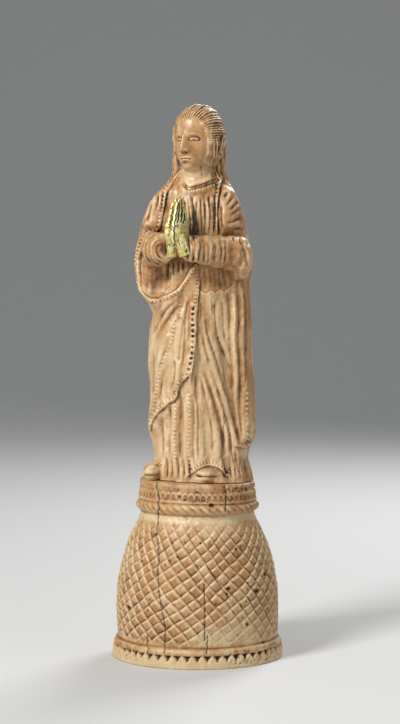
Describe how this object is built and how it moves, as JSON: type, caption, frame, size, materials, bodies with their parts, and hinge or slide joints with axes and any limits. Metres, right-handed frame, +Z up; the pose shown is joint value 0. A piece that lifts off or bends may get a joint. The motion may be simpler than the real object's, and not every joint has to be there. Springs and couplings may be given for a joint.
{
  "type": "carved ivory statuette",
  "caption": "Carved ivory standing woman in a beaded mantle with joined praying hands, on a waisted plinth carved with a net of diamonds.",
  "frame": {"origin": "middle of the plinth's flat underside", "axes": "+Z up through the plinth and the figure; the figure's body faces -Y; +X is at the figure's left hand"},
  "size_m": [0.0808, 0.0808, 0.2597],
  "materials": {
    "pale_ivory": "aged ivory, pale where rubbed, brown in the cuts",
    "ivory": "aged ivory, waxed, warm tan with brown in the folds",
    "gilding": "worn gilding, black between the fingers"
  },
  "bodies": {
    "root": {"plinth": "pale_ivory", "figure": "ivory", "praying_hands": "gilding"}
  },
  "joints": []
}
